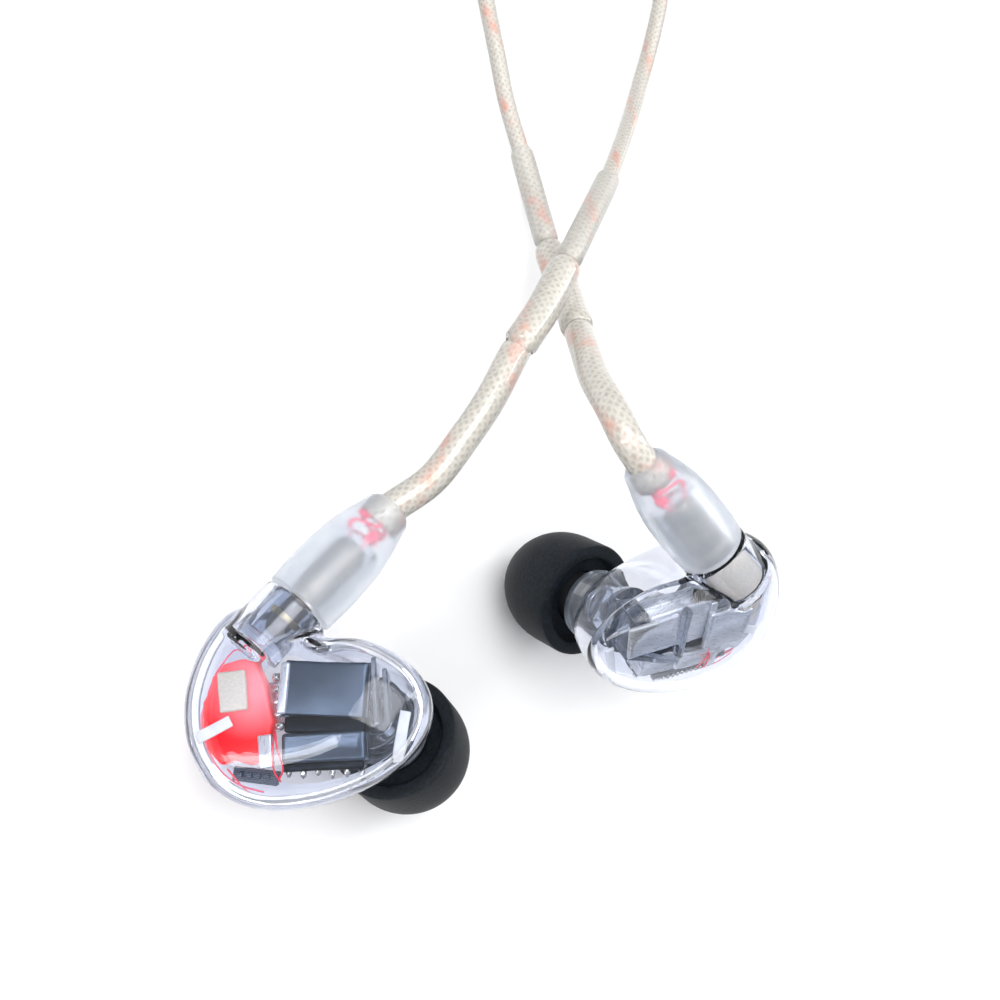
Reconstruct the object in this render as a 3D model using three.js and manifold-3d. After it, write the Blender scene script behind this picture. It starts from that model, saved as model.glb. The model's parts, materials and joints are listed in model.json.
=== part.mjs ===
// A pair of in ear monitors with clear housings, lying on a table with the lead coiled behind them.
// Millimetres, +Z up. The origin is on the table, under the middle of the two earphones.
import * as THREE from "three";
import { mergeVertices } from "three/addons/utils/BufferGeometryUtils.js";
import Module from "manifold-3d";

// Driving dimensions
const fit = 0.3; // gap between neighbours
const housing = { seam: 1.0, top: 5.2, wall: 1.3, neck: 3.3, mouth: 4.3, mouthBore: 3.0, mouthAlong: -3.2 };
const rimPoints = 26; // round each level of the housing
const socketRadius = 2.5;
const tip = { radius: 6.1, length: 10.1, bore: 2.95, recess: 1.2 };
const boot = { length: 12.7, base: 3.45, end: 2.0 };
const branchLayers = 2; // of turns in each branch's coil
const mainLayers = 4;
const sheathAcross = 3.1; // formable sheath
const overlapAcross = 3.6; // where the shrunk sleeve grips the sheath
const sleeveAcross = 2.9;
const branchAcross = 2.1; // each branch of the lead
const mainAcross = 2.6; // the main lead
const jack = { contact: 1.75, handle: 3.3, relief: 1.9 };
const clip = { wall: 0.9, width: 6, slack: 0.8 };

// Places in an earphone's own frame: x forward, y up, z out of the ear
const tipSeat = new THREE.Vector3(6.0, -1.9, -7.0); // middle of the ear tip's rear face
const tipAxis = new THREE.Vector3(0.18, -0.3, -0.937).normalize();
const bootSeat = new THREE.Vector3(-1.3, 9.7, 0.7); // middle of the boot's base
const bootAxis = new THREE.Vector3(0.63, 0.74, -0.24).normalize();

const housingOutline = [
  [9.9, 2.8], [7.6, 4.9], [4.6, 6.3], [1.2, 6.6], [-1.8, 8.0], [-4.6, 9.5], [-7.2, 9.2],
  [-9.4, 6.9], [-10.9, 3.4], [-11.3, 0.2], [-10.6, -3.2], [-8.6, -6.2], [-5.4, -8.0],
  [-1.2, -8.3], [3.2, -7.4], [7.4, -5.3], [10.0, -2.6], [10.8, 0.2],
];
const cradleOutline = [
  [-8.5, 3.2], [-7.6, 4.3], [-5.8, 4.8], [-4.8, 4.7], [-3.8, 2.6], [-3.0, -0.8], [-3.6, -4.0],
  [-4.9, -4.4], [-6.4, -3.9], [-7.4, -4.4], [-8.7, -3.0], [-9.2, -1.3], [-9.3, 1.0], [-8.7, 2.0],
];

// How each earphone lies, and the visible run of its lead from the boot to the first coil
const sides = [
  {
    name: "left",
    mirror: 1,
    place: [-18.98, -3.22, 11.57],
    turn: [-4.5, -33.3, -6.7],
    sheath: [
      [-10.0, 15.4, 13.1], [-6.6, 17.5, 14.5], [-3.4, 21.2, 15.6], [-0.3, 25.2, 16.3], [3.1, 30.3, 16.5],
    ],
    overlap: [[3.3, 30.6, 16.5], [6.7, 34.6, 16.2], [11.5, 41.0, 15.0]],
    sleeve: [[11.7, 41.25, 14.9], [16.9, 47.9, 12.7], [22.7, 55.0, 9.5]],
    run: [
      [22.9, 55.25, 9.4], [28.7, 63.0, 5.9], [33.1, 69.3, 3.2], [36.5, 75.1, 1.6], [38.7, 79.5, 1.15],
      [40.4, 83.6, 1.15], [42.2, 88.6, 1.15], [43.4, 95.0, 1.15], [43.5, 99.5, 1.15],
    ],
    coil: { middle: [30.5, 108.0], outer: 13.04, turns: 4.083 },
    lead: [
      [37.7, 121.9, 2.6], [33.6, 125.6, 1.5], [27.2, 128.8, 1.15], [21.6, 131.4, 1.15], [18.4, 135.0, 1.5],
      [17.8, 139.0, 2.1], [17.8, 148.0, 2.1], [17.8, 157.7, 2.1],
    ],
  },
  {
    name: "right",
    mirror: -1,
    place: [18.22, 2.68, 17.15],
    turn: [46.9, 1.7, 11.1],
    sheath: [
      [7.4, 16.5, 28.7], [6.3, 18.0, 28.9], [6.0, 21.2, 27.6], [7.1, 25.4, 23.9], [9.6, 30.0, 19.3],
      [11.3, 33.2, 16.2],
    ],
    overlap: [[11.45, 33.45, 15.95], [14.4, 39.7, 10.3], [16.2, 47.5, 5.3]],
    sleeve: [[16.25, 47.9, 5.1], [16.7, 54.8, 2.8], [16.3, 61.1, 1.75]],
    run: [
      [16.25, 61.45, 1.7], [15.3, 68.5, 1.15], [14.8, 73.8, 1.15], [14.4, 77.8, 1.15], [14.0, 81.8, 1.15],
      [13.5, 87.5, 1.15], [13.0, 94.3, 1.15],
    ],
    coil: { middle: [-1.1, 103.0], outer: 14.1, turns: 4.056 },
    lead: [
      [9.3, 115.9, 2.3], [8.5, 119.5, 1.3], [9.3, 124.5, 1.15], [13.2, 130.0, 1.15], [14.8, 135.0, 1.5],
      [15.2, 139.0, 2.1], [15.2, 148.0, 2.1], [15.2, 157.7, 2.1],
    ],
  },
];
const splitter = { x: 16.5, start: 158, length: 9.5, height: 4.2 };
const slider = { x: 16.5, middle: 149, length: 6.5, width: 7.4, height: 4.2 };
const mainRun = [[16.5, 167.9, 2.1], [16.5, 170.0, 1.7], [16.5, 173.0, 1.35], [16.5, 176.3, 1.35]];
const mainCoil = { middle: [-0.9, 187.0], outer: 17.4, turns: 6.875 };
const mainLead = [
  [18.6, 182.2, 7.4], [21.6, 185.4, 4.9], [25.5, 188.6, 2.5], [30.0, 190.2, 1.4], [34.2, 188.2, 1.6],
  [36.0, 183.5, 2.6], [36.0, 178.3, 3.3],
];
const jackTail = new THREE.Vector3(36.0, 178.0, 3.3); // where the lead enters the jack, which points to -Y

const wasm = await Module();
wasm.setup();

function toSolid(geometry) {
  const bare = new THREE.BufferGeometry().setAttribute("position", geometry.getAttribute("position"));
  if (geometry.index) bare.setIndex(geometry.index);
  const merged = mergeVertices(bare, 1e-4);
  return new wasm.Manifold(
    new wasm.Mesh({
      numProp: 3,
      vertProperties: merged.attributes.position.array,
      triVerts: new Uint32Array(merged.index.array),
    }),
  );
}

function toGeometry(solid) {
  const mesh = solid.getMesh();
  const geometry = new THREE.BufferGeometry();
  geometry.setAttribute("position", new THREE.BufferAttribute(new Float32Array(mesh.vertProperties), 3));
  geometry.setIndex(new THREE.BufferAttribute(new Uint32Array(mesh.triVerts), 1));
  return geometry;
}

// Turns a closed profile of [radius, distance along] round an axis that starts at seat.
function turned(profile, seat, axis, sides = 16) {
  const points = profile.map(([radius, along]) => new THREE.Vector2(radius, along));
  const toAxis = new THREE.Quaternion().setFromUnitVectors(new THREE.Vector3(0, 1, 0), axis);
  const geometry = new THREE.LatheGeometry(points, sides);
  return geometry.applyQuaternion(toAxis).translate(seat.x, seat.y, seat.z);
}

function ring(inner, outer, from, to, seat, axis, sides = 16) {
  const profile = [[inner, from], [outer, from], [outer, to], [inner, to], [inner, from]];
  return turned(profile, seat, axis, sides);
}

function rod(radius, from, to, seat, axis, sides = 16) {
  return turned([[0, from], [radius, from], [radius, to], [0, to]], seat, axis, sides);
}

// A straight or bent tube of even thickness along a smooth line through the points.
function tube(points, across, sides = 8) {
  const knots = points.map((point) => new THREE.Vector3(...point));
  const path = new THREE.CatmullRomCurve3(knots, false, "centripetal");
  const section = new THREE.Shape();
  section.absarc(0, 0, across / 2, 0, 2 * Math.PI);
  const steps = Math.max(3, Math.ceil(path.getLength() / (2.2 * across)));
  const along = { steps, curveSegments: sides, extrudePath: path, bevelEnabled: false };
  return new THREE.ExtrudeGeometry(section, along);
}

// Skins a stack of equal rings of points, closed at each end by a middle point.
function loft(rings, first, last) {
  const count = rings[0].length;
  const points = [first, ...rings.flat(), last];
  const faces = [];
  const at = (ringNumber, k) => 1 + ringNumber * count + (k % count);
  for (let k = 0; k < count; k++) {
    faces.push(0, at(0, k), at(0, k + 1));
    for (let r = 0; r < rings.length - 1; r++) {
      faces.push(at(r, k), at(r + 1, k), at(r + 1, k + 1));
      faces.push(at(r, k), at(r + 1, k + 1), at(r, k + 1));
    }
    faces.push(at(rings.length - 1, k), points.length - 1, at(rings.length - 1, k + 1));
  }
  const geometry = new THREE.BufferGeometry().setFromPoints(points);
  geometry.setIndex(faces);
  return geometry;
}

// The housing's form: a domed outer side above the seam, and below it an egg that narrows to a round mouth.
function housingForm(inset, mouthRadius, mouthAlong) {
  const outline = new THREE.CatmullRomCurve3(
    housingOutline.map(([x, y]) => new THREE.Vector3(x, y, 0)), true, "centripetal",
  );
  const rim = outline.getSpacedPoints(rimPoints).slice(0, rimPoints);
  const middle = rim.reduce((sum, point) => sum.add(point), new THREE.Vector3()).divideScalar(rim.length);
  for (const point of rim) point.sub(middle).multiplyScalar(1 - inset / point.length()).add(middle);
  const mouthMiddle = tipSeat.clone().addScaledVector(tipAxis, mouthAlong);
  const across = new THREE.Vector3(1, 0, 0).addScaledVector(tipAxis, -tipAxis.x).normalize();
  const upright = new THREE.Vector3().crossVectors(across, tipAxis);
  const mouth = rim.map((point) => {
    const angle = Math.atan2(point.y - middle.y, point.x - middle.x);
    return mouthMiddle.clone()
      .addScaledVector(across, mouthRadius * Math.cos(angle))
      .addScaledVector(upright, mouthRadius * Math.sin(angle));
  });
  const topHeight = housing.top - inset - housing.seam;
  const domed = [68, 48, 28, 10, 0].map((degrees) => {
    const slope = THREE.MathUtils.degToRad(degrees);
    const spread = Math.cos(slope) ** 0.55;
    return rim.map((point) => new THREE.Vector3(
      middle.x + (point.x - middle.x) * spread,
      middle.y + (point.y - middle.y) * spread,
      housing.seam + topHeight * Math.sin(slope),
    ));
  });
  const narrowing = [18, 36, 54, 72, 90].map((degrees) => {
    const slope = THREE.MathUtils.degToRad(degrees);
    const spread = Math.cos(slope) ** 0.8;
    return rim.map((point, k) => new THREE.Vector3(
      mouth[k].x + (point.x - mouth[k].x) * spread,
      mouth[k].y + (point.y - mouth[k].y) * spread,
      housing.seam + (mouth[k].z - housing.seam) * Math.sin(slope),
    ));
  });
  const top = new THREE.Vector3(middle.x, middle.y, housing.top - inset);
  return toSolid(loft([...domed, ...narrowing], top, mouthMiddle));
}

function halfSpace(from, to) {
  return toSolid(new THREE.BoxGeometry(60, 60, to - from).translate(0, 0, (from + to) / 2));
}

// Both halves of the clear housing, with the neck that holds the socket and the mouth that holds the nozzle.
function housingHalves() {
  const neckProfile = [[0, -7], [housing.neck, -7], [boot.base, -3], [boot.base, 0], [0, 0]];
  const neck = toSolid(turned(neckProfile, bootSeat, bootAxis, 20));
  const socketRoom = toSolid(rod(socketRadius + fit, -8, 1, bootSeat, bootAxis, 20));
  const cavity = housingForm(housing.wall, housing.mouthBore, housing.mouthAlong + housing.wall);
  const mouthHole = toSolid(rod(housing.mouthBore, -6, 1, tipSeat, tipAxis, 20));
  const body = housingForm(0, housing.mouth, housing.mouthAlong).add(neck);
  const shell = body.subtract(cavity).subtract(socketRoom).subtract(mouthHole);
  return {
    outer: toGeometry(shell.intersect(halfSpace(housing.seam + fit / 2, 20))),
    inner: toGeometry(shell.intersect(halfSpace(-20, housing.seam - fit / 2))),
  };
}

// A flat can or board: a rounded rectangle given a thickness, turned a little in its own plane.
function can([x, y, z], [long, wide, thick], degrees = 0, corner = 0.5) {
  const shape = new THREE.Shape();
  const [a, b] = [long / 2, wide / 2];
  shape.moveTo(-a + corner, -b);
  shape.lineTo(a - corner, -b).absarc(a - corner, -b + corner, corner, -Math.PI / 2, 0);
  shape.lineTo(a, b - corner).absarc(a - corner, b - corner, corner, 0, Math.PI / 2);
  shape.lineTo(-a + corner, b).absarc(-a + corner, b - corner, corner, Math.PI / 2, Math.PI);
  shape.lineTo(-a, -b + corner).absarc(-a + corner, -b + corner, corner, Math.PI, 1.5 * Math.PI);
  const geometry = new THREE.ExtrudeGeometry(shape, { depth: thick, bevelEnabled: false, curveSegments: 2 });
  return geometry.translate(0, 0, -thick / 2).rotateZ(THREE.MathUtils.degToRad(degrees)).translate(x, y, z);
}

function cradle() {
  const shape = new THREE.Shape(cradleOutline.map(([x, y]) => new THREE.Vector2(x, y)));
  return new THREE.ExtrudeGeometry(shape, { depth: 1.9, bevelEnabled: false }).translate(0, 0, 0.1);
}

// Ear tip: a foam bullet on a soft core tube that grips the nozzle.
function tipFoam() {
  const { radius, length, bore, recess } = tip;
  return turned([
    [bore, recess], [4.5, recess], [4.6, 0.2], [radius - 0.2, 0], [radius, 0.4], [radius, 3.6],
    [0.96 * radius, 5.4], [0.86 * radius, 7.3], [0.7 * radius, 8.8], [0.53 * radius, 9.8], [bore, length],
    [bore, recess],
  ], tipSeat, tipAxis, 24);
}

function nozzleStem() {
  return turned([
    [1.2, -2.8], [2.8, -2.8], [2.8, -2.1], [1.9, -2.1], [1.9, 5.6], [1.6, 6.0], [1.2, 6.0], [1.2, -2.8],
  ], tipSeat, tipAxis, 16);
}

// Free-turning collar that screws the nozzle to the housing, with thread-like ridges outside.
function nozzleCollar() {
  return turned([
    [3.1, -2.9], [3.9, -2.9], [3.9, -2.4], [3.7, -2.2], [3.9, -2.0], [3.9, -1.6], [3.7, -1.4], [3.9, -1.2],
    [3.7, -0.5], [2.2, -0.5], [2.2, -1.8], [3.1, -1.8], [3.1, -2.9],
  ], tipSeat, tipAxis, 24);
}

function socket() {
  return turned([
    [0, -5.6], [socketRadius, -5.6], [socketRadius, -fit], [1.75, -fit], [1.75, -4.4], [0, -4.4],
  ], bootSeat, bootAxis);
}

function plugBarrel() {
  return turned([
    [0, -3.8], [0.9, -3.8], [1.15, -3.4], [1.15, 0.5], [1.8, 0.5], [1.8, 6.4], [1.3, 7.4], [0, 7.4],
  ], bootSeat, bootAxis);
}

function bootShell() {
  const { length, base, end } = boot;
  return turned([
    [0, 8.6], [1.9, 7.8], [2.1, 6.6], [2.1, 0], [base, 0], [base + 0.15, 3.6], [base, 7.0],
    [base - 0.6, 10.0], [end + 0.3, 12.2], [end, length], [0, length],
  ], bootSeat, bootAxis, 20);
}

// The outer form of a flat coil: turns side by side in two or more layers.
function coilForm({ middle, outer, turns }, across, layers) {
  const inner = outer - (turns / layers) * across - across / 2;
  const seat = new THREE.Vector3(...middle, 0);
  return ring(inner, outer + across / 2, 0, layers * across, seat, new THREE.Vector3(0, 0, 1), 24);
}

function bored(body, bores) {
  return toGeometry(bores.reduce((solid, bore) => solid.subtract(toSolid(bore)), toSolid(body)));
}

function sliderBody() {
  const { x, middle, length, width, height } = slider;
  const body = can([x, middle, height / 2], [width, length, height], 0, 1.4);
  const along = new THREE.Vector3(0, 1, 0);
  const bores = [-1.3, 1.3].map((offset) =>
    rod(branchAcross / 2 + fit, -length, length, new THREE.Vector3(x + offset, middle, 2.1), along, 12));
  return bored(body, bores);
}

function splitterBody() {
  const { x, start, length, height } = splitter;
  const shape = new THREE.Shape();
  shape.moveTo(-3.6, 0).lineTo(3.6, 0).lineTo(3.6, 5.0);
  shape.quadraticCurveTo(3.4, 8.0, 2.2, length);
  shape.lineTo(-2.2, length);
  shape.quadraticCurveTo(-3.4, 8.0, -3.6, 5.0);
  return new THREE.ExtrudeGeometry(shape, { depth: height, bevelEnabled: false, curveSegments: 4 })
    .translate(x, start, 0);
}

// Spring clip pushed over the bundle of turns from above.
function coilClip() {
  const { middle, outer, turns } = mainCoil;
  const inner = outer - (turns / mainLayers) * mainAcross - mainAcross / 2 - clip.slack;
  const rim = outer + mainAcross / 2 + fit;
  const height = mainLayers * mainAcross + fit;
  const { wall, width } = clip;
  const shape = new THREE.Shape();
  shape.moveTo(-rim - wall, 0).lineTo(-rim, 0).lineTo(-rim, height).lineTo(-inner, height).lineTo(-inner, 0);
  shape.lineTo(-inner + wall, 0).lineTo(-inner + wall, height + wall).lineTo(-rim - wall, height + wall);
  return new THREE.ExtrudeGeometry(shape, { depth: width, bevelEnabled: false })
    .rotateX(Math.PI / 2).translate(middle[0], middle[1] + width / 2, 0);
}

const towardsTip = new THREE.Vector3(0, -1, 0);

function jackRelief() {
  const { relief } = jack;
  return turned([
    [0, 0.3], [relief, 0.3], [relief + 0.1, 6], [relief + 0.7, 11.6], [0, 11.6],
  ], jackTail, towardsTip);
}

function jackHandle() {
  const { handle } = jack;
  return turned([
    [0, 12], [handle - 0.6, 12], [handle, 13.2], [handle, 26.5], [handle - 0.5, 27.6], [0, 27.6],
  ], jackTail, towardsTip, 20);
}

// The three contacts stand end to end on the handle, a gap apart.
function jackContacts() {
  const { contact } = jack;
  return {
    jack_sleeve_contact: rod(contact, 27.9, 34.6, jackTail, towardsTip),
    jack_ring_contact: rod(contact, 35.2, 37.2, jackTail, towardsTip),
    jack_tip_contact: turned([
      [0, 37.8], [contact, 37.8], [contact, 38.4], [1.25, 39.2], [contact, 40.2], [0.6, 42.0], [0, 42.0],
    ], jackTail, towardsTip),
  };
}

// Finishes
const clear = { color: 0xdfe6ec, roughness: 0.05, metalness: 0 };
const frosted = { color: 0xe6e9ea, roughness: 0.5, metalness: 0 };
const foam = { color: 0x22282c, roughness: 0.95, metalness: 0 };
const softBlack = { color: 0x1a1c1e, roughness: 0.6, metalness: 0 };
const steel = { color: 0x9fa4aa, roughness: 0.3, metalness: 1 };
const darkSteel = { color: 0x4d5866, roughness: 0.35, metalness: 1 };
const red = { color: 0xf02a40, roughness: 0.3, metalness: 0 };
const milky = { color: 0xdde1ea, roughness: 0.35, metalness: 0 };
const board = { color: 0x2a2f3a, roughness: 0.6, metalness: 0 };
const cream = { color: 0xe2dccf, roughness: 0.5, metalness: 0 };
const gold = { color: 0xd8b36a, roughness: 0.25, metalness: 1 };
const clearLead = { color: 0xb9b3a6, roughness: 0.35, metalness: 0 };
const sleeveClear = { color: 0xbdb8af, roughness: 0.45, metalness: 0 };
const greyPlastic = { color: 0xc4c6c8, roughness: 0.4, metalness: 0 };

const group = new THREE.Group();

function add(parent, name, geometry, finish) {
  const mesh = new THREE.Mesh(geometry, new THREE.MeshStandardMaterial(finish));
  mesh.name = name;
  parent.add(mesh);
}

const halves = housingHalves();

for (const side of sides) {
  const earphone = new THREE.Group();
  earphone.position.set(...side.place);
  earphone.rotation.set(...side.turn.map(THREE.MathUtils.degToRad));
  earphone.scale.x = side.mirror;
  group.add(earphone);
  const canSteel = side.name === "left" ? darkSteel : steel;
  const inside = {
    outer_shell: [halves.outer, clear],
    inner_shell: [halves.inner, clear],
    nozzle_stem: [nozzleStem(), clear],
    nozzle_collar: [nozzleCollar(), clear],
    tip_foam: [tipFoam(), foam],
    tip_core: [ring(2.1, 2.7, 0.6, 9.5, tipSeat, tipAxis), softBlack],
    low_driver: [can([1.6, 2.0, 1.5], [7.2, 4.2, 2.6], -4), canSteel],
    mid_driver: [can([1.4, -2.8, 1.2], [7.0, 2.9, 2.4], 2), canSteel],
    high_driver: [can([3.2, 0.2, -1.9], [5.0, 3.2, 1.6], 0), steel],
    rear_driver: [can([-2.9, 0.8, -1.2], [3.8, 4.4, 1.8], 8), steel],
    cradle: [cradle(), side.name === "left" ? red : milky],
    crossover_board: [can([-4.6, -5.3, 0.9], [4.0, 1.2, 0.9], -8, 0.2), board],
    socket: [socket(), side.name === "left" ? clear : cream],
    snap_ring: [ring(1.3, 1.6, -2.4, -1.8, bootSeat, bootAxis), gold],
    plug_barrel: [plugBarrel(), steel],
    boot: [bootShell(), frosted],
  };
  for (const [name, [geometry, finish]] of Object.entries(inside)) {
    add(earphone, `${side.name}_${name}`, geometry, finish);
  }
  add(group, `${side.name}_sheath`, tube(side.sheath, sheathAcross), clearLead);
  add(group, `${side.name}_sleeve_overlap`, tube(side.overlap, overlapAcross), sleeveClear);
  add(group, `${side.name}_sleeve`, tube(side.sleeve, sleeveAcross), sleeveClear);
  add(group, `${side.name}_branch_run`, tube(side.run, branchAcross), clearLead);
  add(group, `${side.name}_branch_coil`, coilForm(side.coil, branchAcross, branchLayers), clearLead);
  add(group, `${side.name}_branch_lead`, tube(side.lead, branchAcross), clearLead);
}

add(group, "cinch_slider", sliderBody(), greyPlastic);
add(group, "y_splitter", splitterBody(), greyPlastic);
add(group, "main_run", tube(mainRun, mainAcross), clearLead);
add(group, "main_coil", coilForm(mainCoil, mainAcross, mainLayers), clearLead);
add(group, "coil_clip", coilClip(), softBlack);
add(group, "main_lead", tube(mainLead, mainAcross), clearLead);
add(group, "jack_strain_relief", jackRelief(), greyPlastic);
add(group, "jack_handle", jackHandle(), steel);
for (const [name, geometry] of Object.entries(jackContacts())) add(group, name, geometry, gold);

export default group;
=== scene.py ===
import json
import math

import bpy
from mathutils import Matrix, Vector


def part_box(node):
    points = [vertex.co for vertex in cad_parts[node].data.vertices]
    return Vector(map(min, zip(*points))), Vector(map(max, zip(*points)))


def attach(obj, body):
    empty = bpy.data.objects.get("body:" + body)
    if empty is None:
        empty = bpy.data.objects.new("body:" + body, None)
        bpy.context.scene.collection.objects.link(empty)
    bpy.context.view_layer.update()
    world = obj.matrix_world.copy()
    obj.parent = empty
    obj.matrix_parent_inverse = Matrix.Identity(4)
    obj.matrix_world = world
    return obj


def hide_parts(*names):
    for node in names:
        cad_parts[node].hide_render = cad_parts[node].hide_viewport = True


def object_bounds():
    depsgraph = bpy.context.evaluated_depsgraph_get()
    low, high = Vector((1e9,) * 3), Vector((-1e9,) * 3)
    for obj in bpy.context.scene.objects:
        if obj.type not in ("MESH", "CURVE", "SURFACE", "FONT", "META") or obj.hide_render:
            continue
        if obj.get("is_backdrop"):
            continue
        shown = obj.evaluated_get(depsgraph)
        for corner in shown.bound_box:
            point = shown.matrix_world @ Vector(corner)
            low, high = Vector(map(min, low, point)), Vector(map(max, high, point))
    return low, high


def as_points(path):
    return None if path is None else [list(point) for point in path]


# A pair of in ear monitors with clear housings, lying on a table with the lead coiled behind them

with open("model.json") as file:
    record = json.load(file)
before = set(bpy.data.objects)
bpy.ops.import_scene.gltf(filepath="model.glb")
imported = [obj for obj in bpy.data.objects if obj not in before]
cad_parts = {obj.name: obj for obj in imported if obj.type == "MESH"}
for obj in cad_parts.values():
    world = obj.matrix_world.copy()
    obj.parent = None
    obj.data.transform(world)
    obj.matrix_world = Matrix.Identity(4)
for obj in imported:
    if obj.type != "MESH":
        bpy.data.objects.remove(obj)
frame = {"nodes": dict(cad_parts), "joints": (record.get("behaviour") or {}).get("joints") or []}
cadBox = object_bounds()
joints = {joint["name"]: joint for joint in frame["joints"]}
sides = ("left", "right")
mm = 0.001
print("frame loaded")


# small tools

def selectOnly(*pieces):
    bpy.ops.object.select_all(action="DESELECT")
    for piece in pieces:
        piece.select_set(True)
    bpy.context.view_layer.objects.active = pieces[0]


def applyModifiers(piece):
    selectOnly(piece)
    for modifier in list(piece.modifiers):
        bpy.ops.object.modifier_apply(modifier=modifier.name)


def smooth(piece, degrees=35):
    selectOnly(piece)
    bpy.ops.object.shade_smooth_by_angle(angle=math.radians(degrees))
    return piece


def softenEdges(piece, width, segments=3, degrees=30):
    bevel = piece.modifiers.new("soft edges", "BEVEL")
    bevel.width = width * mm
    bevel.segments = segments
    bevel.angle_limit = math.radians(degrees)
    applyModifiers(piece)
    return smooth(piece)


def joined(first, *others):
    selectOnly(first, *others)
    bpy.ops.object.join()
    return first


def meshPiece(name, points, faces=(), edges=()):
    mesh = bpy.data.meshes.new(name)
    mesh.from_pydata([tuple(point) for point in points], list(edges), list(faces))
    piece = bpy.data.objects.new(name, mesh)
    bpy.context.scene.collection.objects.link(piece)
    return piece


def inMetres(size):
    return Matrix.Diagonal((*[side * mm for side in size], 1))


def alongAxis(seat, axis):
    turn = Vector((0, 0, 1)).rotation_difference(Vector(axis)).to_matrix().to_4x4()
    return Matrix.Translation(Vector(seat) * mm) @ turn


def turned(name, profile, seat=(0, 0, 0), axis=(0, 0, 1), steps=64, soft=0.06):
    # spins a profile of (radius, distance along) round the axis, as on a lathe
    points = [(radius * mm, 0, along * mm) for radius, along in profile]
    piece = meshPiece(name, points, edges=[(k, k + 1) for k in range(len(points) - 1)])
    selectOnly(piece)
    bpy.ops.object.mode_set(mode="EDIT")
    bpy.ops.mesh.select_all(action="SELECT")
    bpy.ops.mesh.spin(steps=steps, angle=2 * math.pi, center=(0, 0, 0), axis=(0, 0, 1))
    bpy.ops.mesh.select_all(action="SELECT")
    bpy.ops.mesh.remove_doubles(threshold=0.002 * mm)
    bpy.ops.mesh.normals_make_consistent(inside=False)
    bpy.ops.object.mode_set(mode="OBJECT")
    piece.data.transform(alongAxis(seat, axis))
    if soft:
        softenEdges(piece, soft, 2)
    return smooth(piece)


def block(name, centre, size, turn=0, soft=0.3, recess=0):
    # a moulded or drawn block: x, y, z in mm, turned about z, with its outer face set in if recess is given
    bpy.ops.object.select_all(action="DESELECT")
    bpy.ops.mesh.primitive_cube_add(size=1)
    piece = bpy.context.object
    piece.name = name
    piece.data.transform(inMetres(size))
    if recess:
        for polygon in piece.data.polygons:
            polygon.select = abs(polygon.normal.z) > 0.9
        bpy.ops.object.mode_set(mode="EDIT")
        bpy.ops.mesh.select_mode(type="FACE")
        bpy.ops.mesh.inset(thickness=0.45 * mm, depth=0)
        bpy.ops.mesh.inset(thickness=0.12 * mm, depth=-recess * mm)
        bpy.ops.object.mode_set(mode="OBJECT")
    if soft:
        softenEdges(piece, soft, 4, 40)
    place = Matrix.Translation(Vector(centre) * mm) @ Matrix.Rotation(math.radians(turn), 4, "Z")
    piece.data.transform(place)
    return piece


def routeThrough(points, spacing=0.6, closed=False):
    # smooth line through the points, in metres, with even steps of about the spacing in mm
    knots = [Vector(point) * mm for point in points]
    if closed:
        knots = [knots[-1], *knots, knots[0], knots[1]]
    else:
        knots = [2 * knots[0] - knots[1], *knots, 2 * knots[-1] - knots[-2]]
    fine = []
    for a, b, c, d in zip(knots, knots[1:], knots[2:], knots[3:]):
        t1 = (b - a).length ** 0.5
        t2 = t1 + (c - b).length ** 0.5
        t3 = t2 + (d - c).length ** 0.5
        for step in range(24):
            t = t1 + (t2 - t1) * step / 24
            ab = a.lerp(b, t / t1)
            bc = b.lerp(c, (t - t1) / (t2 - t1))
            cd = c.lerp(d, (t - t2) / (t3 - t2))
            fine.append(ab.lerp(bc, t / t2).lerp(bc.lerp(cd, (t - t1) / (t3 - t1)), (t - t1) / (t2 - t1)))
    fine.append(knots[-2].copy())
    return evenSteps(fine, spacing)


def evenSteps(line, spacing):
    lengths = [(b - a).length for a, b in zip(line, line[1:])]
    count = max(3, round(sum(lengths) / (spacing * mm)))
    step = sum(lengths) / count
    steps = [line[0]]
    walked, k = 0.0, 0
    for n in range(1, count):
        while walked + lengths[k] < n * step:
            walked += lengths[k]
            k += 1
        steps.append(line[k].lerp(line[k + 1], (n * step - walked) / lengths[k]))
    return [*steps, line[-1]]


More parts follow.
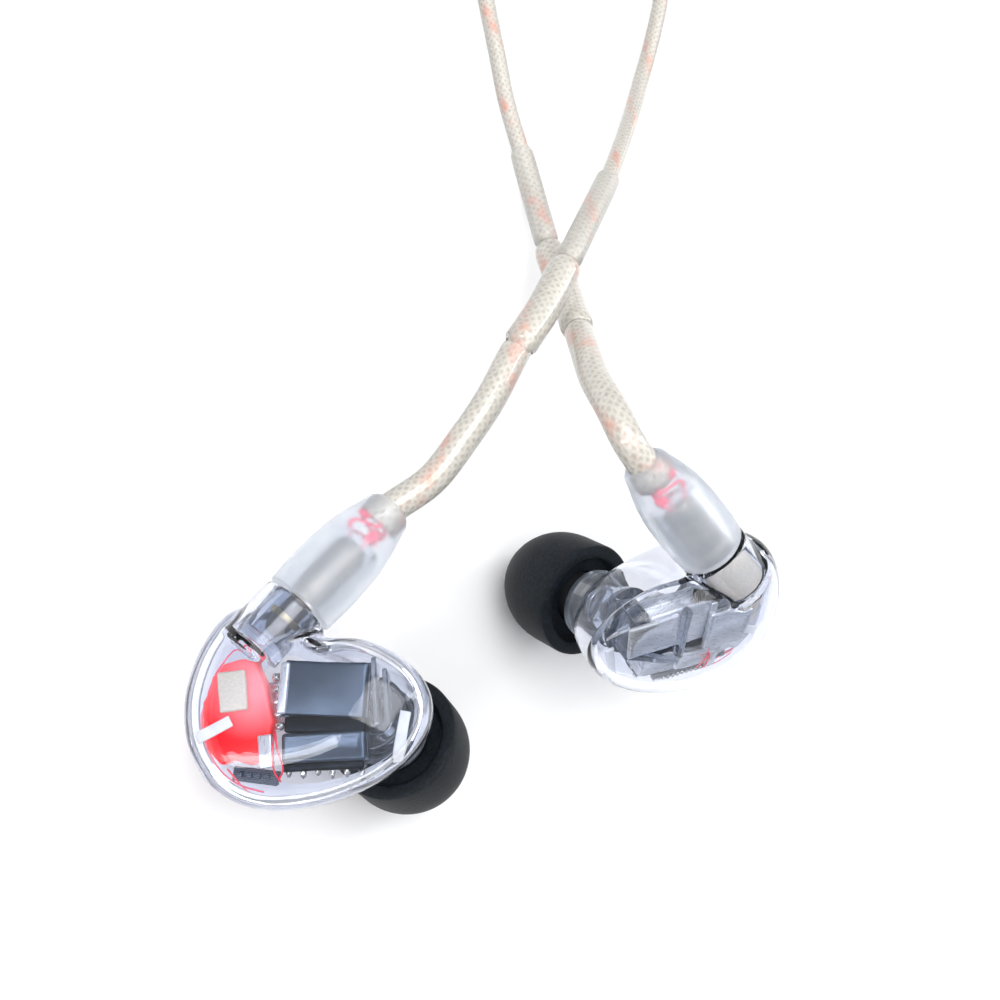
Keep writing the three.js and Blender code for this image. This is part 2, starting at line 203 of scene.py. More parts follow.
def tube(name, route, across, sides=16, ends=0.3):
    # round tube along a route: across in mm, or a function of the fraction of the way along, giving mm
    width = across if callable(across) else (lambda part: across)
    gone = [0.0]
    for a, b in zip(route, route[1:]):
        gone.append(gone[-1] + (b - a).length)
    ahead = (route[1] - route[0]).normalized()
    side = ahead.orthogonal().normalized()
    points, faces, marks = [], [], []
    for k, point in enumerate(route):
        nextAhead = (route[min(k + 1, len(route) - 1)] - route[max(k - 1, 0)]).normalized()
        side = ahead.rotation_difference(nextAhead) @ side
        side = (side - side.dot(nextAhead) * nextAhead).normalized()
        ahead = nextAhead
        other = ahead.cross(side)
        radius = width(gone[k] / gone[-1]) / 2 * mm
        if k in (0, len(route) - 1):
            radius *= 1 - ends
        for n in range(sides):
            angle = 2 * math.pi * n / sides
            points.append(point + radius * (math.cos(angle) * side + math.sin(angle) * other))
    for k in range(len(route) - 1):
        for n in range(sides):
            m = (n + 1) % sides
            faces.append((k * sides + n, k * sides + m, (k + 1) * sides + m, (k + 1) * sides + n))
            marks += [(n / sides, gone[k]), ((n + 1) / sides, gone[k]),
                      ((n + 1) / sides, gone[k + 1]), (n / sides, gone[k + 1])]
    faces.append(tuple(reversed(range(sides))))
    faces.append(tuple(range(len(points) - sides, len(points))))
    marks += [(0, 0)] * sides + [(0, gone[-1])] * sides
    piece = meshPiece(name, points, faces)
    wrap = piece.data.uv_layers.new(name="UVMap")
    for loop, mark in zip(wrap.data, marks):
        loop.uv = mark
    piece.data.polygons.foreach_set("use_smooth", [True] * len(faces))
    return piece


def finishPiece(piece, name, body, slot, material, nodes=()):
    piece.name = name
    piece.data.materials.clear()
    piece.data.materials.append(material)
    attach(piece, body)
    if nodes:
        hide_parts(*nodes)
    return piece


# where each earphone lies: found from its two joints' axes

seats = {
    "tip": Vector((6.0, -1.9, -7.0)),  # mm, in an earphone's own frame: x forward, y up, z out of the ear
    "tipAxis": Vector((0.18, -0.3, -0.937)).normalized(),
    "boot": Vector((-1.3, 9.7, 0.7)),
    "bootAxis": Vector((0.63, 0.74, -0.24)).normalized(),
}


def triad(first, second):
    third = first.cross(second).normalized()
    return Matrix((first.normalized(), third.cross(first).normalized(), third)).transposed()


def earphonePlace(side):
    flip = Matrix.Diagonal((-1 if side == "right" else 1, 1, 1))
    tipJoint, bootJoint = joints[side + "_collar_turn"], joints[side + "_swivel"]
    there = triad(Vector(tipJoint["axis"]), Vector(bootJoint["axis"]))
    here = triad(flip @ seats["tipAxis"], flip @ seats["bootAxis"])
    turn = there @ here.inverted() @ flip
    return Matrix.Translation(Vector(tipJoint["pos_m"]) - turn @ seats["tip"] * mm) @ turn.to_4x4()


places = {side: earphonePlace(side) for side in sides}


def onBothSides(piece, name, body, slot, material, node=None, right=None, only=sides):
    # made once in an earphone's own frame and copied to each side; right is that side's own slot and finish
    copies = []
    for side in only:
        copy = piece.copy()
        copy.data = piece.data.copy()
        bpy.context.scene.collection.objects.link(copy)
        copy.data.transform(places[side])
        if places[side].determinant() < 0:
            copy.data.flip_normals()
        nodes = [side + "_" + node] if node else ()
        riding = body if body == "lead" else side + "_" + body
        ownSlot, ownMaterial = right if right and side == "right" else (slot, material)
        copies.append(finishPiece(copy, side + "_" + name, riding, ownSlot, ownMaterial, nodes))
    bpy.data.objects.remove(piece)
    return copies


# materials

def colour(code):
    values = [int(code[k:k + 2], 16) / 255 for k in (1, 3, 5)]
    return (*[v / 12.92 if v <= 0.04045 else ((v + 0.055) / 1.055) ** 2.4 for v in values], 1)


def addNode(tree, kind, settings=None, links=None):
    node = tree.nodes.new(kind)
    for key, value in (settings or {}).items():
        if isinstance(key, int) or key in node.inputs:
            node.inputs[key].default_value = value
        else:
            setattr(node, key, value)
    for key, socket in (links or {}).items():
        tree.links.new(socket, node.inputs[key])
    return node


def startMaterial(name, **sockets):
    material = bpy.data.materials.new(name)
    material.use_nodes = True
    shader = material.node_tree.nodes["Principled BSDF"]
    for key, value in sockets.items():
        shader.inputs[key.replace("_", " ")].default_value = value
    return material, material.node_tree, shader


def perMetre(size):
    # cells of a size in mm that go into a metre, which is the scale that a texture takes
    return 1 / (size * mm)


def blendColours(tree, low, high, factor):
    ramp = addNode(tree, "ShaderNodeValToRGB", links={"Fac": factor})
    ramp.color_ramp.elements[0].color = colour(low)
    ramp.color_ramp.elements[1].color = colour(high)
    return ramp


def mottle(tree, shader, size, detail, low, high):
    # base colour that drifts between two shades over patches of a size in mm
    place = addNode(tree, "ShaderNodeTexCoord")
    noise = addNode(tree, "ShaderNodeTexNoise", {"Scale": perMetre(size), "Detail": detail},
                    {"Vector": place.outputs["Object"]})
    tint = blendColours(tree, low, high, noise.outputs["Fac"])
    tree.links.new(tint.outputs["Color"], shader.inputs["Base Color"])
    return noise


def bumpFrom(tree, shader, height, depth, strength=0.5):
    # depth in mm
    bump = addNode(tree, "ShaderNodeBump", {"Strength": strength, "Distance": depth * mm}, {"Height": height})
    tree.links.new(bump.outputs["Normal"], shader.inputs["Normal"])


def polishedPolycarbonate():
    # polycarbonate, moulded and polished: water clear, faintly cool where thick, with slow waves of flow
    material, tree, shader = startMaterial(
        "polycarbonate, polished", Roughness=0.02, IOR=1.45, Transmission_Weight=1.0)
    flow = mottle(tree, shader, 3.846, 1.0, "#dfe5f3", "#f8f9ff")
    bumpFrom(tree, shader, flow.outputs["Fac"], 0.12, 0.12)
    return material


def mouldedClear():
    # clear ABS, moulded: a little smoky, with fine flow lines
    material, tree, shader = startMaterial(
        "clear ABS, moulded", Roughness=0.06, IOR=1.5, Transmission_Weight=0.95)
    flow = mottle(tree, shader, 1.111, 2.0, "#b9c3d2", "#eef2f8")
    bumpFrom(tree, shader, flow.outputs["Fac"], 0.05, 0.4)
    return material


def smokyClear():
    # clear polycarbonate, threaded: dark between its ridges
    material, tree, shader = startMaterial(
        "smoky polycarbonate, threaded", Roughness=0.12, IOR=1.5, Transmission_Weight=0.8)
    cloud = mottle(tree, shader, 1.429, 2.0, "#59616e", "#c9d0da")
    bumpFrom(tree, shader, cloud.outputs["Fac"], 0.03, 0.4)
    return material


def frostedPvc():
    # soft PVC, moulded over the wires: frosted, milky white with a cool grey where thin
    material, tree, shader = startMaterial(
        "soft PVC, frosted", Roughness=0.3, IOR=1.38, Transmission_Weight=0.8)
    place = addNode(tree, "ShaderNodeTexCoord")
    cloud = addNode(tree, "ShaderNodeTexNoise", {"Scale": perMetre(2.381), "Detail": 3.0},
                    {"Vector": place.outputs["Object"]})
    tint = blendColours(tree, "#cdd6e2", "#fbfcff", cloud.outputs["Fac"])
    tree.links.new(tint.outputs["Color"], shader.inputs["Base Color"])
    grain = addNode(tree, "ShaderNodeTexNoise", {"Scale": perMetre(0.1111), "Detail": 2.0},
                    {"Vector": place.outputs["Object"]})
    bumpFrom(tree, shader, grain.outputs["Fac"], 0.02, 0.5)
    return material


def memoryFoam():
    # polyurethane foam, slow recovery: charcoal with open cells of about 0.2 mm
    material, tree, shader = startMaterial(
        "polyurethane foam, cast", Roughness=0.56, Specular_IOR_Level=0.28)
    place = addNode(tree, "ShaderNodeTexCoord")
    cells = addNode(tree, "ShaderNodeTexVoronoi", {"Scale": perMetre(0.2222)},
                    {"Vector": place.outputs["Object"]})
    cloud = addNode(tree, "ShaderNodeTexNoise", {"Scale": perMetre(0.3846), "Detail": 5.0},
                    {"Vector": place.outputs["Object"]})
    tint = blendColours(tree, "#02060a", "#0f1a24", cloud.outputs["Fac"])
    tint.color_ramp.elements[0].position = 0.35
    tint.color_ramp.elements[1].position = 0.72
    tree.links.new(tint.outputs["Color"], shader.inputs["Base Color"])
    bumpFrom(tree, shader, cells.outputs["Distance"], 0.06, 0.5)
    return material


def blackSilicone():
    # silicone rubber, extruded: matte black with fine dust
    material, tree, shader = startMaterial("silicone rubber, extruded", Roughness=0.5)
    dust = mottle(tree, shader, 0.3333, 4.0, "#0d0f10", "#24282a")
    bumpFrom(tree, shader, dust.outputs["Fac"], 0.01, 0.4)
    return material


def drawnMetal(name, low, high, roughness, metal=1.0):
    # thin sheet drawn over a die: long faint lines and slightly uneven shine
    material, tree, shader = startMaterial(name, Metallic=metal, Roughness=roughness)
    place = addNode(tree, "ShaderNodeTexCoord")
    stretch = addNode(tree, "ShaderNodeMapping", {"Scale": (perMetre(1.111), perMetre(1.111),
                                                            perMetre(0.1111))},
                      {"Vector": place.outputs["Object"]})
    lines = addNode(tree, "ShaderNodeTexNoise", {"Scale": 1.0, "Detail": 4.0},
                    {"Vector": stretch.outputs["Vector"]})
    cloud = addNode(tree, "ShaderNodeTexNoise", {"Scale": perMetre(3.03), "Detail": 2.0},
                    {"Vector": place.outputs["Object"]})
    tint = blendColours(tree, low, high, cloud.outputs["Fac"])
    tree.links.new(tint.outputs["Color"], shader.inputs["Base Color"])
    shine = addNode(tree, "ShaderNodeMapRange",
                    {"To Min": roughness - 0.08, "To Max": roughness + 0.1}, {"Value": lines.outputs["Fac"]})
    tree.links.new(shine.outputs["Result"], shader.inputs["Roughness"])
    bumpFrom(tree, shader, lines.outputs["Fac"], 0.008, 0.35)
    return material


def redResin():
    # acrylic resin, cast and dyed red: the colour also feeds emission, a painted glow though it is no lamp,
    # and it pales to salmon round one spot, painted light coming through
    material, tree, shader = startMaterial(
        "red acrylic resin, cast, with painted glow", Roughness=0.16, IOR=1.49, Transmission_Weight=0.1,
        Subsurface_Weight=0.15, Subsurface_Scale=1.2 * mm, Specular_IOR_Level=0.25,
        Emission_Strength=0.3)
    spot = addNode(tree, "ShaderNodeUVMap", {"uv_map": "UVMap"})
    # painted light: the red pales to salmon with distance from one spot, as if lit through
    paintedLightFade = addNode(tree, "ShaderNodeTexGradient", {"gradient_type": "SPHERICAL"},
                   {"Vector": spot.outputs["UV"]})
    tint = blendColours(tree, "#e8000f", "#ff8a90", paintedLightFade.outputs["Fac"])
    tint.color_ramp.elements[0].position = 0.3
    tint.color_ramp.elements[1].position = 0.85
    tree.links.new(tint.outputs["Color"], shader.inputs["Base Color"])
    # painted glow: the same colour is sent to emission
    tree.links.new(tint.outputs["Color"], shader.inputs["Emission Color"])
    place = addNode(tree, "ShaderNodeTexCoord")
    flow = addNode(tree, "ShaderNodeTexNoise", {"Scale": perMetre(1.667)},
                   {"Vector": place.outputs["Object"]})
    bumpFrom(tree, shader, flow.outputs["Fac"], 0.06, 0.3)
    return material


def milkyResin():
    # acrylic resin, cast undyed: milky with a cool cast, and cloudy where it is thick
    material, tree, shader = startMaterial(
        "milky acrylic resin, cast", Roughness=0.2, IOR=1.49, Transmission_Weight=0.55)
    cloud = mottle(tree, shader, 2, 2.0, "#b9bfcd", "#f1f2f8")
    bumpFrom(tree, shader, cloud.outputs["Fac"], 0.06, 0.3)
    return material


def circuitBoard():
    # glass fibre board with solder mask: near black, with the copper's pattern faintly raised
    material, tree, shader = startMaterial("glass fibre board, masked", Roughness=0.35)
    place = addNode(tree, "ShaderNodeTexCoord")
    tracks = addNode(tree, "ShaderNodeTexBrick",
                     {"Scale": perMetre(0.7143), "Color1": colour("#151a22"), "Color2": colour("#232b38"),
                      "Mortar": colour("#5b6472"), "Mortar Size": 0.04}, {"Vector": place.outputs["Object"]})
    tree.links.new(tracks.outputs["Color"], shader.inputs["Base Color"])
    bumpFrom(tree, shader, tracks.outputs["Fac"], 0.02, 0.5)
    return material


def creamNylon():
    # nylon, moulded: warm white with a fine spark texture
    material, tree, shader = startMaterial(
        "nylon, moulded", Roughness=0.42, Subsurface_Weight=0.15, Subsurface_Scale=0.5 * mm)
    spark = mottle(tree, shader, 0.2, 3.0, "#a8a298", "#d3ccbf")
    bumpFrom(tree, shader, spark.outputs["Fac"], 0.01, 0.4)
    return material


def solderTin():
    # solder, flowed: bright beads with frosty patches
    material, tree, shader = startMaterial("solder, flowed", Metallic=1.0, Roughness=0.2)
    frost = mottle(tree, shader, 0.4, 3.0, "#9a958c", "#f4f2ee")
    shine = addNode(tree, "ShaderNodeMapRange", {"To Min": 0.08, "To Max": 0.42},
                    {"Value": frost.outputs["Fac"]})
    tree.links.new(shine.outputs["Result"], shader.inputs["Roughness"])
    bumpFrom(tree, shader, frost.outputs["Fac"], 0.03, 0.5)
    return material


def enamelWire(name, low, high):
    # copper wire in a lacquer coat: glossy, with slightly paler rubbed stretches
    material, tree, shader = startMaterial(name, Roughness=0.25, Coat_Weight=0.5)
    rub = mottle(tree, shader, 0.6667, 2.0, low, high)
    bumpFrom(tree, shader, rub.outputs["Fac"], 0.01, 0.3)
    return material


def whiteFilm():
    # polyester film, pressed: white with a soft shine and faint creases
    material, tree, shader = startMaterial("polyester film, pressed", Roughness=0.4)
    crease = mottle(tree, shader, 0.9091, 4.0, "#b4b7ba", "#e6e7e8")
    bumpFrom(tree, shader, crease.outputs["Fac"], 0.05, 0.5)
    return material


def goldPlate():
    # hard gold over brass, turned: warm, with fine turning rings
    material, tree, shader = startMaterial("gold plate, turned", Metallic=1.0, Roughness=0.2)
    place = addNode(tree, "ShaderNodeTexCoord")
    rings = addNode(tree, "ShaderNodeTexWave",
                    {"bands_direction": "Y", "Scale": perMetre(0.4), "Distortion": 0.4},
                    {"Vector": place.outputs["Object"]})
    tint = blendColours(tree, "#d9b25f", "#f0d28c", rings.outputs["Fac"])
    tree.links.new(tint.outputs["Color"], shader.inputs["Base Color"])
    bumpFrom(tree, shader, rings.outputs["Fac"], 0.004, 0.4)
    return material


def satinPlastic(name, low, high, roughness=0.38):
    # thermoplastic elastomer, moulded: even satin with a fine eroded grain
    material, tree, shader = startMaterial(name, Roughness=roughness)
    grain = mottle(tree, shader, 0.1667, 3.0, low, high)
    bumpFrom(tree, shader, grain.outputs["Fac"], 0.015, 0.5)
    return material


def clearPvc(name, low, high, roughness, transmission):
    # soft PVC, extruded: clear with the faint lengthwise lines of the die
    material, tree, shader = startMaterial(
        name, Roughness=roughness, IOR=1.48, Transmission_Weight=transmission)
    wrap = addNode(tree, "ShaderNodeUVMap", {"uv_map": "UVMap"})
    stretch = addNode(tree, "ShaderNodeMapping", {"Scale": (9.0, perMetre(4.545), 1.0)},
                      {"Vector": wrap.outputs["UV"]})
    lines = addNode(tree, "ShaderNodeTexNoise", {"Scale": 1.0, "Detail": 2.0},
                    {"Vector": stretch.outputs["Vector"]})
    tint = blendColours(tree, low, high, lines.outputs["Fac"])
    tree.links.new(tint.outputs["Color"], shader.inputs["Base Color"])
    bumpFrom(tree, shader, lines.outputs["Fac"], 0.02, 0.3)
    return material


def servedStrands(name, strands, pitch, fleckPitch):
    # fine tinned copper strands, braided, drawn coarser than real so the weave shows, with orange streaks
    material, tree, shader = startMaterial(name, Roughness=0.4, Metallic=0.12)
    wrap = addNode(tree, "ShaderNodeUVMap", {"uv_map": "UVMap"})
    split = addNode(tree, "ShaderNodeSeparateXYZ", links={"Vector": wrap.outputs["UV"]})
    around, along = split.outputs["X"], split.outputs["Y"]
    waves = []
    for direction in (1, -1):
        rise = addNode(tree, "ShaderNodeMath", {"operation": "MULTIPLY",
                                                1: direction * 2 * math.pi / (pitch * mm)},
                       {0: along})
        phase = addNode(tree, "ShaderNodeMath", {"operation": "MULTIPLY_ADD", 1: strands * 2 * math.pi},
                        {0: around, 2: rise.outputs[0]})
        waves.append(addNode(tree, "ShaderNodeMath", {"operation": "SINE"}, {0: phase.outputs[0]}).outputs[0])
    weave = addNode(tree, "ShaderNodeMath", {"operation": "MAXIMUM"}, {0: waves[0], 1: waves[1]})
    level = addNode(tree, "ShaderNodeMapRange", {"From Min": -0.9, "From Max": 1.0},
                    {"Value": weave.outputs[0]})
    fine = addNode(tree, "ShaderNodeMapping", {"Scale": (9.0, perMetre(0.3846), 1.0)},
                   {"Vector": wrap.outputs["UV"]})
    speckle = addNode(tree, "ShaderNodeTexNoise", {"Scale": 1.0, "Detail": 2.0},
                      {"Vector": fine.outputs["Vector"]})
    uneven = addNode(tree, "ShaderNodeMath", {"operation": "MULTIPLY_ADD", 1: 0.45},
                     {0: level.outputs["Result"], 2: speckle.outputs["Fac"]})
    strand = blendColours(tree, "#99958c", "#d6d2ca", uneven.outputs[0])
    turnsAlong = addNode(tree, "ShaderNodeMath", {"operation": "MULTIPLY_ADD", 1: 1 / (fleckPitch * mm)},
                         {0: along, 2: around})
    fraction = addNode(tree, "ShaderNodeMath", {"operation": "FRACT"}, {0: turnsAlong.outputs[0]})
    offset = addNode(tree, "ShaderNodeMath", {"operation": "SUBTRACT", 1: 0.5}, {0: fraction.outputs[0]})
    distance = addNode(tree, "ShaderNodeMath", {"operation": "ABSOLUTE"}, {0: offset.outputs[0]})
    band = addNode(tree, "ShaderNodeMapRange", {"From Min": 0.2, "From Max": 0.06},
                   {"Value": distance.outputs[0]})
    stretch = addNode(tree, "ShaderNodeMapping", {"Scale": (3.0, perMetre(2.381), 1.0)},
                      {"Vector": wrap.outputs["UV"]})
    broken = addNode(tree, "ShaderNodeTexNoise", {"Scale": 1.0, "Detail": 3.0},
                     {"Vector": stretch.outputs["Vector"]})
    shown = addNode(tree, "ShaderNodeMapRange", {"From Min": 0.42, "From Max": 0.66},
                    {"Value": broken.outputs["Fac"]})
    streak = addNode(tree, "ShaderNodeMath", {"operation": "MULTIPLY"},
                     {0: band.outputs["Result"], 1: shown.outputs["Result"]})
    fleck = addNode(tree, "ShaderNodeMath", {"operation": "MULTIPLY", 1: 0.6}, {0: streak.outputs[0]})
    mixed = addNode(tree, "ShaderNodeMix", {"data_type": "RGBA"},
                    {0: fleck.outputs[0], 6: strand.outputs["Color"]})
    mixed.inputs[7].default_value = colour("#e28a72")
    tree.links.new(mixed.outputs[2], shader.inputs["Base Color"])
    bumpFrom(tree, shader, level.outputs["Result"], 0.04, 0.4)
    return material


finishes = {
    "shell": polishedPolycarbonate(),
    "trim": mouldedClear(),
    "collar": smokyClear(),
    "boot": frostedPvc(),
    "foam": memoryFoam(),
    "silicone": blackSilicone(),
    "darkCan": drawnMetal("blackened steel, drawn", "#3f4957", "#6f7b89", 0.34),
    "blackCan": drawnMetal("black oxide steel, drawn", "#0e1116", "#252b33", 0.3),
    "brightCan": drawnMetal("nickel silver, drawn", "#aeb2b7", "#e2e4e7", 0.28, 0.65),
    "barrel": drawnMetal("nickel brass, turned", "#5f574e", "#958b7e", 0.36),
    "handle": drawnMetal("aluminium, turned", "#9da1a7", "#d3d5d9", 0.3),
    "red": redResin(),
    "milky": milkyResin(),
    "board": circuitBoard(),
    "cream": creamNylon(),
    "solder": solderTin(),
    "redWire": enamelWire("red lacquered wire, drawn", "#c4122f", "#ff3b58"),
    "pinkWire": enamelWire("pink lacquered wire, drawn", "#e0305c", "#ff7d98"),
    "film": whiteFilm(),
    "gold": goldPlate(),
    "grey": satinPlastic("grey TPE, moulded", "#b4b6b9", "#d0d2d4"),
    "black": satinPlastic("black acetal, moulded", "#17191b", "#2a2d30"),
    "jacket": clearPvc("clear PVC, extruded", "#f4f3f0", "#ffffff", 0.06, 1.0),
    "sheath": clearPvc("clear PVC sheath, extruded", "#f3f2ef", "#ffffff", 0.08, 1.0),
    "shrunk": clearPvc("polyolefin tube, shrunk", "#e9e8e6", "#fdfdfc", 0.24, 0.86),
    "strands": servedStrands("copper strands, braided", 6, 0.9, 13),
    "sheathStrands": servedStrands("copper strands, braided under the sheath", 9, 1.0, 17),
}
print("materials made")


# camera, light and floor

cameraPlace = {"at": (-55.5, -4.5, 110.57), "lens": 41.4,
               "across": (0.8676, -0.1016, 0.4867), "up": (0, 0.9789, 0.2043),
               "back": (-0.4972, -0.1773, 0.8493)}


def makeCamera():
    camera = bpy.data.objects.new("camera", bpy.data.cameras.new("camera"))
    bpy.context.scene.collection.objects.link(camera)
    camera.data.lens = cameraPlace["lens"]
    camera.data.sensor_width = 36
    camera.data.clip_start = 5 * mm
    camera.data.clip_end = 20
    axes = Matrix([cameraPlace[key] for key in ("across", "up", "back")]).transposed()
    camera.matrix_world = Matrix.Translation(Vector(cameraPlace["at"]) * mm) @ axes.to_4x4()
    bpy.context.scene.camera = camera


lights = {
    # name: place in mm, what it points at, size in mm, watts
    "softbox above": ((-60, 60, 420), (0, 10, 10), (340, 300), 1.15),
    "strip left": ((-330, -90, 200), (0, 10, 10), (60, 320), 0.45),
    "strip right": ((310, 130, 230), (10, 10, 10), (60, 320), 0.4),
}


def makeLights():
    for name, (place, target, size, watts) in lights.items():
        lamp = bpy.data.lights.new(name, "AREA")
        lamp.shape = "RECTANGLE"
        lamp.size, lamp.size_y = [side * mm for side in size]
        lamp.energy = watts
        holder = bpy.data.objects.new(name, lamp)
        bpy.context.scene.collection.objects.link(holder)
        holder.location = Vector(place) * mm
        holder.rotation_euler = (Vector(target) - Vector(place)).to_track_quat("-Z", "Y").to_euler()
    world = bpy.data.worlds.new("studio")
    bpy.context.scene.world = world
    world.use_nodes = True
    tree = world.node_tree
    direction = addNode(tree, "ShaderNodeTexCoord")
    height = addNode(tree, "ShaderNodeSeparateXYZ", links={"Vector": direction.outputs["Generated"]})
    level = addNode(tree, "ShaderNodeMapRange", {"From Min": -0.1, "From Max": 0.75},
                    {"Value": height.outputs["Z"]})
    sky = blendColours(tree, "#4d5b73", "#ffffff", level.outputs["Result"])
    sky.color_ramp.elements.new(0.4).color = colour("#b4c0d0")
    tree.links.new(sky.outputs["Color"], tree.nodes["Background"].inputs["Color"])
    tree.nodes["Background"].inputs["Strength"].default_value = 0.6
    bpy.context.scene.view_settings.view_transform = "Standard"


def makeFloor():
    bpy.ops.object.select_all(action="DESELECT")
    bpy.ops.mesh.primitive_plane_add(size=4)
    floor = bpy.context.object
    floor.name = "table_top"
    material, tree, shader = startMaterial("white laminate, pressed", Roughness=0.7, Specular_IOR_Level=0.2)
    mottle(tree, shader, 25, 2.0, "#fafafa", "#ffffff")
    floor.data.materials.append(material)
    floor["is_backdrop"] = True


makeCamera()
makeLights()
makeFloor()
print("camera, lights and floor made")


# leads: the route of each side's branch, and of the main lead, in mm

branches = {
    "left": {
        "sheath": [(-6.6, 17.5, 14.5), (-3.4, 21.2, 15.6), (-0.3, 25.2, 16.3), (3.1, 30.3, 16.5)],
        "overlap": [(6.7, 34.6, 16.2), (11.5, 41.0, 15.0)],
        "sleeve": [(16.9, 47.9, 12.7), (22.7, 55.0, 9.5)],
        "run": [(28.7, 63.0, 5.9), (33.1, 69.3, 3.2), (36.5, 75.1, 1.6), (38.7, 79.5, 1.15),
                (40.4, 83.6, 1.15), (42.2, 88.6, 1.15), (43.4, 95.0, 1.15), (43.5, 99.5, 1.15)],
        "coil": {"middle": (30.5, 108.0), "outer": 13.04, "turns": 4.083},
        "lead": [(37.7, 121.9, 2.6), (33.6, 125.6, 1.5), (27.2, 128.8, 1.15), (21.6, 131.4, 1.15),
                 (18.4, 135.0, 1.5), (17.8, 139.0, 2.1), (17.8, 148.0, 2.1), (17.8, 157.7, 2.1)],
        "length": 0.46,
    },
    "right": {
        "sheath": [(6.3, 18.0, 28.9), (6.0, 21.2, 27.6), (7.1, 25.4, 23.9), (9.6, 30.0, 19.3),
                   (11.3, 33.2, 16.2)],
        "overlap": [(14.4, 39.7, 10.3), (16.2, 47.5, 5.3)],
        "sleeve": [(16.7, 54.8, 2.8), (16.3, 61.1, 1.75)],
        "run": [(15.3, 68.5, 1.15), (14.8, 73.8, 1.15), (14.4, 77.8, 1.15), (14.0, 81.8, 1.15),
                (13.5, 87.5, 1.15), (13.0, 94.3, 1.15)],
        "coil": {"middle": (-1.1, 103.0), "outer": 14.1, "turns": 4.056},
        "lead": [(9.3, 115.9, 2.3), (8.5, 119.5, 1.3), (9.3, 124.5, 1.15), (13.2, 130.0, 1.15),
                 (14.8, 135.0, 1.5), (15.2, 139.0, 2.1), (15.2, 148.0, 2.1), (15.2, 157.7, 2.1)],
        "length": 0.46,
    },
}
mainLead = {
    "start": [(16.5, 167.9, 2.1), (16.5, 170.0, 1.7), (16.5, 173.0, 1.35), (16.5, 176.3, 1.35)],
    "coil": {"middle": (-0.9, 187.0), "outer": 17.4, "turns": 6.875},
    "end": [(18.6, 182.2, 7.4), (21.6, 185.4, 4.9), (25.5, 188.6, 2.5), (30.0, 190.2, 1.4),
            (34.2, 188.2, 1.6), (36.0, 183.5, 2.6), (36.0, 178.3, 3.3)],
    "length": 0.70,
}
across = {"branch": 2.1, "core": 1.24, "sheath": 3.1, "sheathCore": 2.24, "overlap": 3.6, "sleeve": 2.9,
          "main": 2.6, "mainCore": 1.54}


def coilPoints(coil, diameter, layers):
    # turns wound inwards and outwards in turn, each layer a diameter above the last
    perLayer = coil["turns"] / layers
    points = []
    for k in range(round(coil["turns"] * 24) + 1):
        turn = min(k / 24, coil["turns"])
        layer = min(int(turn / perLayer), layers - 1)
        into = turn - layer * perLayer
        fromOuter = into if layer % 2 == 0 else perLayer - into
        climb = max(0.0, min(1.0, into / 0.2)) if layer else 1.0
        radius = coil["outer"] - diameter * fromOuter
        height = diameter * (0.5 + layer - (1 - climb))
        angle = 2 * math.pi * turn
        points.append((coil["middle"][0] + radius * math.cos(angle),
                       coil["middle"][1] + radius * math.sin(angle), height))
    return points


def bootEnd(side, along):
    return tuple(places[side] @ ((seats["boot"] + seats["bootAxis"] * along) * mm) / mm)


def makeBranch(side):
    branch = branches[side]
    exit = bootEnd(side, 12.7)
    points = [exit, *branch["sheath"], *branch["overlap"], *branch["sleeve"], *branch["run"],
              *coilPoints(branch["coil"], across["branch"], 2), *branch["lead"]]
    route = routeThrough(points)
    jacket = tube(side + "_branch", route, across["branch"])
    core = tube(side + "_branch_strands", route, across["core"], 12)
    finishPiece(core, side + "_branch_strands", "lead", "clear_lead", finishes["strands"])
    finishPiece(jacket, side + "_branch_jacket", "lead", "clear_lead", finishes["jacket"],
                [side + "_branch_run", side + "_branch_coil", side + "_branch_lead"])

    def nearest(point):
        # the step of the route that lies nearest to a point in mm
        return min(range(len(route)), key=lambda k: (route[k] - Vector(point) * mm).length)

    def overlapWidth(part):
        # rounded off where it starts, and drawn in where it meets the sleeve
        return across["overlap"] - 0.5 * max(0, 1 - part / 0.08) ** 2 - 0.6 * max(0, (part - 0.9) / 0.1) ** 2

    sheathEnd, overlapEnd, sleeveEnd = [nearest(branch[name][-1]) for name in ("sheath", "overlap", "sleeve")]
    inside = routeThrough([bootEnd(side, 10.2), bootEnd(side, 11.5), exit], 0.6)[:-1]
    sheathRoute = [*inside, *route[:overlapEnd + 1]]
    sheathCore = tube(side + "_sheath_strands", sheathRoute, across["sheathCore"], 20)
    finishPiece(sheathCore, side + "_sheath_strands", "lead", "braided_lead", finishes["sheathStrands"])
    sheath = tube(side + "_sheath_tube", [*inside, *route[:sheathEnd + 1]], across["sheath"], 24, 0.02)
    finishPiece(sheath, side + "_sheath_tube", "lead", "braided_lead", finishes["sheath"], [side + "_sheath"])
    overlap = tube(side + "_overlap_tube", route[sheathEnd + 1:overlapEnd + 1], overlapWidth, 24, 0.1)
    finishPiece(overlap, side + "_overlap_tube", "lead", "shrunk_sleeve", finishes["sheath"],
                [side + "_sleeve_overlap"])
    sleeve = tube(side + "_shrunk_sleeve", route[overlapEnd + 1:sleeveEnd + 2],
                  lambda part: across["sleeve"] - 0.12 * max(0, (part - 0.85) / 0.15), 24, 0.16)
    finishPiece(sleeve, side + "_shrunk_sleeve", "lead", "shrunk_sleeve", finishes["shrunk"],
                [side + "_sleeve"])
    for clear in (jacket, sheath, overlap, sleeve):
        clear.visible_shadow = False  # light reaches the strands
    print(side, "branch length", round(sum((b - a).length for a, b in zip(route, route[1:])), 4))
    return jacket, route, Vector(exit) * mm, [core, sheathCore, sheath, overlap, sleeve]


